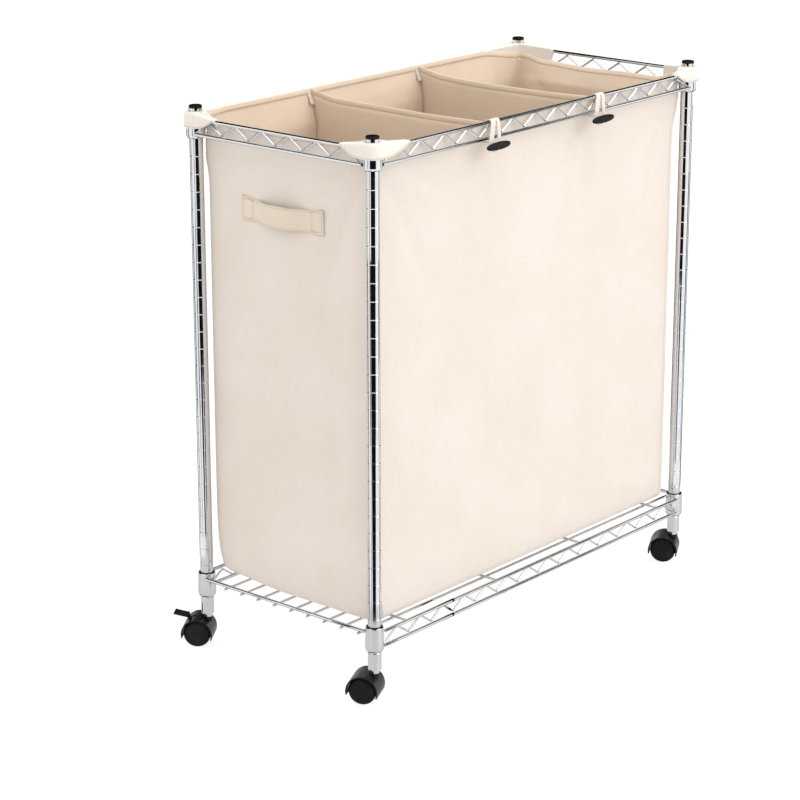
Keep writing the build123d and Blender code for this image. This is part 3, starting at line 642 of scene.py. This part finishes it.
def make_divider(sign, name, node_name):
    rows, uvs = [], []
    columns, levels = 44, 46
    for i in range(levels + 1):
        f = i / levels
        row = []
        for j in range(columns + 1):
            t = 2 * j / columns - 1
            top = RIM - 0.0012 - 0.0030 * (1 - t * t) + 0.0062 * smoothstep(0.7, 1.0, t)
            z = Z0 + 0.0035 + (top - Z0 - 0.0035) * f
            reach = wall("front" if t < 0 else "back", sign * DIV_X, z) - CLOTH - 0.0004
            if z < Z0 + BOTTOM_R:
                reach -= BOTTOM_R * (1 - math.sqrt(max(0.0, 1 - (1 - (z - Z0) / BOTTOM_R) ** 2))) * 0.92
            y = t * reach
            lean = 0.006 * (1 - t * t) * (0.35 + 0.65 * f) * sign
            wave = 0.0035 * noise.noise(Vector((y * 9, z * 6, 8.0 * sign))) * (1 - t ** 4)
            row.append(Vector((sign * DIV_X - lean + wave, y, z)))
            uvs.append((y, z))
        rows.append(row)
    verts, faces = lattice(rows)
    sheet = build(name, verts, faces, [TAN], "frame", "canvas", uvs)
    thicken(sheet, CLOTH, offset=0.0)
    top = rows[-1]
    path = [p + Vector((0, 0, 0.0004)) for p in top]
    rings, ring_uv = [], []
    for p in path:
        ring = [(-0.0008, -HEM), (0.0008, -HEM), (0.0010, -HEM + 0.0003), (0.0011, -HEM * 0.5), (0.0010, -0.0006),
                (0.0005, 0.0002), (-0.0005, 0.0002), (-0.0010, -0.0006), (-0.0011, -HEM * 0.5),
                (-0.0010, -HEM + 0.0003)]
        rings.append([p + Vector((a, 0, b)) for a, b in ring])
        ring_uv += [(p.y, b) for a, b in ring]
    build(name + "_hem", *loft(rings), [TAN], "frame", "canvas", ring_uv)
    sewn = []
    for side in (-1, 1):
        line = [p + Vector((side * 0.0011, 0, -0.0062)) for p in path]
        sewn.append(stitches(line, [Vector((side, 0, 0))] * len(line)))
    sew(name + "_stitching", sewn)
    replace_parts(sheet, node_name)


# ---------- corner ears ----------
EAR_REACH = {"front_left": (0.058, 0.045), "front_right": (0.050, 0.048), "back_left": (0.062, 0.048),
             "back_right": (0.076, 0.062)}       # reach along the long and the short side's rod


def make_ear(sx, sy, corner):
    """Cloth cap: a tent from the post out over the rods, skirts outside them, and a sewn edge on the bag's rim."""
    out, hole = 0.0152, POST_R + 0.0006
    long, short = EAR_REACH[corner]
    steps = 26
    boundary = []                                # (a, b, distance along its arm, that arm's reach)
    for i in range(steps + 1):                   # along the short side's rod, towards the corner
        b = -short + short * i / steps
        boundary.append((out, b, -b, short))
    for i in range(1, 12):
        t = math.radians(90 * i / 12)
        boundary.append((out * math.cos(t), out * math.sin(t), 0.0, short))
    for i in range(steps + 1):
        a = -long * i / steps
        boundary.append((a, out, -a, long))
    near, tip = 0.0058, -0.0094                  # the bag's rim: beside the rods, and drawn in past the post
    inner = []
    for i in range(14):
        f = i / 13
        inner.append((-long + (long + tip) * f, near + (tip - near) * f ** 1.6, "long"))
    for i in range(1, 14):
        f = 1 - i / 13
        inner.append((near + (tip - near) * f ** 1.6, -short + (short + tip) * f, "short"))

    def place(a, b, z):
        return Vector((sx * (PX + a), sy * (PY + b), z))

    def crest(a, b, reach):
        """The tent's height: it falls evenly from the post to a little over the rod's top."""
        f = min(1.0, max(0.0, (math.hypot(a, b) - 0.0125) / (reach - 0.0125)))
        return 0.7976 - 0.0046 * f - 0.0006 * math.sin(math.pi * f) ** 2

    columns = []
    for a, b, s, reach in boundary:
        d = math.hypot(a, b)
        start = hole / d
        top = crest(a, b, reach)
        u = min(1.0, max(0.0, (s - 0.006) / (reach - 0.006)))
        low = 0.7764 + 0.0150 * u ** 2.2
        column = [(a * f, b * f, crest(a * f, b * f, reach))
                  for f in (start + (0.86 - start) * i / 8 for i in range(9))]
        fall = max(0.0016, top - low)
        for f, drop in ((0.92, 0.035), (0.965, 0.09), (0.995, 0.17), (1.015, 0.27), (1.03, 0.40), (1.045, 0.55),
                        (1.055, 0.72), (1.06, 0.88), (1.065, 1.0)):
            column.append((a * f if a > 0 else a, b * f if b > 0 else b, top - fall * drop))
        columns.append(column)
    for a, b, part in inner:
        d = math.hypot(a, b)
        start = min(hole / d, 0.93)
        reach = long if part == "long" else short
        top = crest(a, b, reach)
        side = ("back" if sy > 0 else "front") if part == "long" else ("right" if sx > 0 else "left")
        rim = rim_height(side, sx * (PX + a) if part == "long" else sy * (PY + b)) - 0.0035
        fall = max(0.0016, top - rim)
        column = [(a * f, b * f, crest(a * f, b * f, reach))
                  for f in (start + (0.96 - start) * i / 8 for i in range(9))]
        for f, drop in ((0.985, 0.02), (1.0, 0.08), (1.0, 0.20), (1.0, 0.34), (1.0, 0.48), (1.0, 0.62), (1.0, 0.76),
                        (1.0, 0.90), (1.0, 1.0)):
            column.append((a * f, b * f, top - fall * drop))
        columns.append(column)
    n, m = len(columns), len(columns[0])
    rows = [[place(*columns[j][i]) for j in range(n)] for i in range(m)]
    verts, faces = lattice(rows, closed=True)
    if sx * sy > 0:
        faces = [f[::-1] for f in faces]
    uvs = [(p.x + 0.2 * p.z, p.y + 0.2 * p.z) for p in verts]
    ear = build(f"bag_ear_{corner}", verts, faces, [EAR_CLOTH], "frame", "canvas", uvs)
    thicken(ear, 0.0009, offset=0.0)
    path = rows[-1][: len(boundary)]
    normals = [Vector((sx * max(0.0, a), sy * max(0.0, b), 0)).normalized() for a, b, _, _ in boundary]
    path = [p + out_way * 0.0005 + Vector((0, 0, 0.0022)) for p, out_way in zip(path, normals)]
    sew(f"bag_ear_{corner}_stitching", [stitches(path, normals)])
    return ear


# ---------- carrying straps ----------
def make_strap(sign, name, node_name):
    lo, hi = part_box(node_name)
    mid, half = (lo.y + hi.y) / 2, (hi.y - lo.y) / 2
    zc, tall = (lo.z + hi.z) / 2, hi.z - lo.z
    kind = "left" if sign < 0 else "right"
    sewn_end, rise = 0.024, 0.0140

    def out_at(y, z):
        t = abs(y - mid)
        lift = smoothstep(half - sewn_end, 0.012, t)
        return wall(kind, y, z) + 0.0014 + rise * lift

    rows, uvs = [], []
    across = 12
    for i in range(61):
        y = mid - half + 2 * half * i / 60
        row = []
        for j in range(across + 1):
            f = j / across
            t = abs(y - mid) / half
            # the lower edge is pulled in a little and the upper edge droops where the strap stands off
            z = zc - tall / 2 + tall * f - 0.0030 * (1 - t ** 2) * f + 0.0008 * math.sin(5 * t + 2 * f)
            x = out_at(y, z) - 0.0022 * (1 - t ** 2) * (2 * f - 1) ** 2
            row.append(Vector((sign * x, y, z)))
            uvs.append((y, z))
        rows.append(row)
    verts, faces = lattice(rows)
    if sign < 0:
        faces = [f[::-1] for f in faces]
    strap = build(name, verts, faces, [STRAP_CLOTH], "frame", "canvas", uvs)
    thicken(strap, 0.0024, offset=0.0)
    out = Vector((sign, 0, 0))
    lines = []
    for end in (-1, 1):
        y0, y1 = mid + end * (half - 0.003), mid + end * (half - sewn_end + 0.003)
        z0, z1 = zc - tall / 2 + 0.0035, zc + tall / 2 - 0.0035
        corners = [(y0, z0), (y0, z1), (y1, z1), (y1, z0), (y0, z0)]
        path = []
        for (ya, za), (yb, zb) in zip(corners, corners[1:]):
            path += [Vector((sign * (out_at(ya + (yb - ya) * f, za + (zb - za) * f) + 0.0012),
                             ya + (yb - ya) * f, za + (zb - za) * f)) for f in (0, .25, .5, .75, 1)]
        lines.append(stitches(path, [out] * len(path)))
    for f in (0.10, 0.90):
        path = []
        for i in range(4, 57):
            path.append(rows[i][round(f * across)] + out * 0.0012)
        lines.append(stitches(path, [out] * len(path)))
    sew(name + "_stitching", lines)
    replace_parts(strap, node_name)


# ---------- tape loops, tethers and toggles ----------
def make_loops(sy, side):
    lo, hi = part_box(f"toggle_{side}_right")
    toggle_z, inner = (lo.z + hi.z) / 2, (lo.y if sy > 0 else -hi.y)
    parts, tethers = [], []
    out = ROD_Y + 0.0033
    inside = ROD_Y - RIM_IN - CLOTH - 0.0014
    for sx in (-1, 1):
        x = sx * DIV_X
        for leg in (-1, 1):
            line = [
                (x + leg * 0.0032, inside - 0.0060, RIM - 0.016), (x + leg * 0.0033, inside - 0.0006, RIM - 0.004),
                (x + leg * 0.0036, inside + 0.0012, RIM + 0.0022), (x + leg * 0.0039, ROD_Y - 0.0022, ROD_TOP + 0.0011),
                (x + leg * 0.0043, ROD_Y + 0.0012, ROD_TOP + 0.0009), (x + leg * 0.0050, out, ROD_TOP - 0.0018),
                (x + leg * 0.0066, out + 0.0002, ROD_TOP - 0.0120), (x + leg * 0.0082, out, ROD_LOW + 0.0020),
                (x + leg * 0.0088, out - 0.0002, toggle_z + 0.0060),
                (x + leg * 0.0074, out + 0.0004, toggle_z - 0.0010),
                (x + leg * 0.0036, out + 0.0006, toggle_z - 0.0062), (x, out + 0.0006, toggle_z - 0.0074),
            ]
            path = smooth_path([Vector((a, sy * b, c)) for a, b, c in line], 60)
            sides = []
            for i in range(len(path)):
                f = max(0.0, (i - 46) / 14)
                sides.append(Vector((leg * (1 - f), 0, -f * 1.0)) if f else Vector((leg, 0, 0)))
            wide = 0.0100 if leg < 0 else 0.0074
            parts.append(band(path, sides, [wide - 0.0022 * max(0.0, (i - 46) / 14) for i in range(61)], 0.0010))
        near = wall(side, x, toggle_z) + 0.0002
        line = [Vector((x, sy * b, toggle_z + 0.0010 + a)) for a, b in
                ((0.0, near), (0.0010, near + 0.005), (0.0008, inner - 0.005), (0.0, inner - 0.0004))]
        path = smooth_path(line, 16)
        tethers.append(band(path, [Vector((1, 0, 0))] * len(path), 0.0040, 0.0009))
    tape = join(parts)
    loops = build(f"tape_loops_{side}_cloth", tape[0], tape[1], [TAPE_CLOTH], "frame", "cotton_tape", tape[2])
    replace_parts(loops, f"tape_loops_{side}")
    return tethers


def make_toggle(side, end):
    node_name = f"toggle_{side}_{end}"
    lo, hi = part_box(node_name)
    centre, half = (lo + hi) / 2, (hi - lo) / 2
    rings, count = [], 84
    for i in range(count + 1):
        t = -math.cos(math.pi * i / count)
        x = t * half.x
        body = max(0.0, 1 - t * t) ** 0.32 * (0.92 + 0.08 * (1 - abs(t)))
        rib = 0.5 - 0.5 * math.cos(2 * math.pi * x / 0.0046)
        waist = math.exp(-(x / 0.0026) ** 2)
        grow = (1 - 0.11 * (rib ** 3) * smoothstep(1.0, 0.85, abs(t))) * (1 - 0.07 * waist)
        h, d = half.z * body * grow, half.y * min(1.0, body * 1.06) * grow
        ring = []
        for k in range(20):
            a = 2 * math.pi * k / 20
            c, s = math.cos(a), math.sin(a)
            ring.append(centre + Vector((x, math.copysign(abs(c) ** 0.8, c) * d * 0.985,
                                         math.copysign(abs(s) ** 0.9, s) * h)))
        rings.append(ring)
    verts, faces = loft(rings)
    made = build(f"{node_name}_ribbed", verts, faces, [TOGGLE], node_name, "toggle_plastic",
                 [(p.x, p.z) for p in verts])
    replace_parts(made, node_name)


# ---------- put it together ----------
BAG_ROWS = make_bag()
make_hem(BAG_ROWS)
make_seams(BAG_ROWS)
make_divider(-1, "divider_left_cloth", "bag_divider_left")
make_divider(1, "divider_right_cloth", "bag_divider_right")
EARS = [make_ear(sx, sy, corner) for corner, sx, sy in SIDES]
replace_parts(EARS[0], "bag_corner_ears")
make_strap(-1, "carry_strap_left_cloth", "carry_strap_left")
make_strap(1, "carry_strap_right_cloth", "carry_strap_right")
_verts, _faces, _uvs = join(make_loops(-1, "front") + make_loops(1, "back"))
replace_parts(build("toggle_tethers", _verts, _faces, [TAPE_CLOTH], "frame", "cotton_tape", _uvs), "toggle_tapes")
for _side in ("front", "back"):
    for _end in ("left", "right"):
        make_toggle(_side, _end)

paint(CHROME, "post_front_left", "post_front_right", "post_back_left", "post_back_right", "top_collars",
      "bottom_collars", "caster_stems")
paint(CHROME_WIRE, "top_truss_front", "top_truss_back", "top_truss_left", "top_truss_right", "bottom_truss_front",
      "bottom_truss_back", "bottom_rod_left", "bottom_rod_right", "shelf_long_wires", "shelf_cross_wires")
paint(BLACK, "post_caps", "top_split_sleeves", "bottom_split_sleeves", "post_inserts")
for _corner, _, _ in SIDES:
    paint(CASTER, f"caster_{_corner}_hood")
    paint(WHEEL, f"caster_{_corner}_wheel_a", f"caster_{_corner}_wheel_b")
    paint(STEEL, f"caster_{_corner}_axle")
    if _corner.startswith("back"):
        paint(CASTER, f"caster_{_corner}_brake_lever")
        paint(STEEL, f"caster_{_corner}_brake_pin")


# ---------- floor, light, camera ----------
def make_floor():
    """White sweep that glows a little, so that the cart's shadow on it stays faint."""
    mat, _, _, bsdf = new_material("studio_floor")
    bsdf.inputs["Base Color"].default_value = (0.14, 0.14, 0.14, 1)
    bsdf.inputs["Roughness"].default_value = 0.8
    bsdf.inputs["Specular IOR Level"].default_value = 0.0
    bsdf.inputs["Emission Color"].default_value = (1, 1, 1, 1)
    bsdf.inputs["Emission Strength"].default_value = 0.90
    mesh = bpy.data.meshes.new("floor")
    size = 14.0
    mesh.from_pydata([(-size, -size, 0), (size, -size, 0), (size, size, 0), (-size, size, 0)], [], [(0, 1, 2, 3)])
    mesh.materials.append(mat)
    floor = bpy.data.objects.new("floor", mesh)
    bpy.context.scene.collection.objects.link(floor)
    floor.location.z = -0.0005


def make_world():
    world = bpy.data.worlds.new("studio")
    bpy.context.scene.world = world
    world.use_nodes = True
    background = world.node_tree.nodes["Background"]
    background.inputs["Color"].default_value = (1.0, 1.0, 1.0, 1)
    background.inputs["Strength"].default_value = 1.22


def arc(centre, radius, middle, half, levels, steps=8):
    """Rows of points on an arc centred on the angle middle. levels gives each row's radius factor and height,
    and half is the arc's half angle, or one for each row."""
    rows = []
    halves = half if isinstance(half, tuple) else (half,) * len(levels)
    for (factor, z), wide in zip(levels, halves):
        angles = [math.radians(middle + wide * t / steps) for t in range(-steps, steps + 1)]
        rows.append([centre + Vector((radius * factor * math.sin(t), -radius * factor * math.cos(t), z))
                     for t in angles])
    return rows


def make_flags():
    """Black flags and grey cards seen only in reflections: the chrome's dark lines and its greyer feet."""
    mat, _, _, bsdf = new_material("studio_flag")
    bsdf.inputs["Base Color"].default_value = (0.004, 0.004, 0.004, 1)
    bsdf.inputs["Roughness"].default_value = 1.0
    bsdf.inputs["Specular IOR Level"].default_value = 0.0
    origin = Vector((0, 0, 0))
    dome = [(math.cos(math.radians(e)), 0.55 + 2.9 * math.sin(math.radians(e))) for e in (4, 15, 26, 37, 48, 59, 70)]
    flags = {"flag_overhead": [lattice(arc(origin, 3.2, 142, 84, dome, 24))]}
    lines = ((45, 5), (-140, 5), (-95, 3), (88, 4))
    flags["flag_far"] = [lattice(arc(origin, 1.45, middle, half, [(1, 0.01), (1, high)]))
                         for (middle, half), high in zip(((-50, 27), *lines), (0.75, 1.5, 1.5, 1.2, 1.2))]
    near = []
    for (_, sx, sy), half in zip(SIDES, ((26, 42), (6, 18), (9, 20), (18, 22))):
        foot = Vector((sx * PX, sy * PY, 0))
        low = 0.062 if (sx, sy) == (-1, -1) else 0.115
        near += [lattice(arc(foot, 0.16, middle, wide, [(1, low), (1, 0.60)])) for middle, wide in
                 ((-50, half), *lines)]
    flags["flag_near"] = near
    flags["flag_ground"] = [lattice(arc(Vector((-PX, -PY, 0.002)), 1.0, 130, 50, [(0.02, 0), (4.5, 0)]))]
    card, _, _, card_bsdf = new_material("studio_card")
    card_bsdf.inputs["Base Color"].default_value = (0.1, 0.1, 0.1, 1)
    card_bsdf.inputs["Emission Color"].default_value = (1, 0.99, 0.98, 1)
    card_bsdf.inputs["Emission Strength"].default_value = 0.58
    flags["card_feet"] = [lattice(arc(Vector((sx * PX, sy * PY, 0.004)), 1.0, 0, 180, [(0.03, 0), (0.36, 0)], 24))
                          for _, sx, sy in SIDES]
    for name, pieces in flags.items():
        verts, faces, _ = join(pieces)
        mesh = bpy.data.meshes.new(name)
        mesh.from_pydata([tuple(v) for v in verts], [], faces)
        mesh.materials.append(card if name == "card_feet" else mat)
        flag = bpy.data.objects.new(name, mesh)
        bpy.context.scene.collection.objects.link(flag)
        flag.visible_camera = flag.visible_diffuse = flag.visible_shadow = False
        flag.visible_transmission = flag.visible_volume_scatter = False


def area_light(name, place, target, size, power, colour=(1, 1, 1)):
    data = bpy.data.lights.new(name, "AREA")
    data.shape = "RECTANGLE"
    data.size, data.size_y = size
    data.energy = power
    data.color = colour
    made = bpy.data.objects.new(name, data)
    made.location = place
    made.rotation_euler = (Vector(target) - Vector(place)).to_track_quat("-Z", "Y").to_euler()
    bpy.context.scene.collection.objects.link(made)


def make_camera():
    data = bpy.data.cameras.new("camera")
    data.sensor_width = 36.0
    data.lens = 118.07
    data.shift_x = -0.0107
    made = bpy.data.objects.new("camera", data)
    a, e = math.radians(-49.8), math.radians(17.49)
    back = Vector((math.sin(a) * math.cos(e), -math.cos(a) * math.cos(e), math.sin(e)))
    made.location = Vector((-0.0984, 0.0, 0.3458)) + back * 3.874
    made.rotation_euler = (-back).to_track_quat("-Z", "Y").to_euler()
    bpy.context.scene.collection.objects.link(made)
    bpy.context.scene.camera = made


make_floor()
make_world()
make_flags()
area_light("key", (1.4, -3.4, 2.4), (0, 0, 0.4), (2.4, 2.4), 49, (1.0, 1.015, 1.05))
area_light("top", (0.2, -0.3, 3.2), (0, 0, 0.3), (2.0, 2.0), 22)
make_camera()
bpy.context.scene.view_settings.view_transform = "Standard"
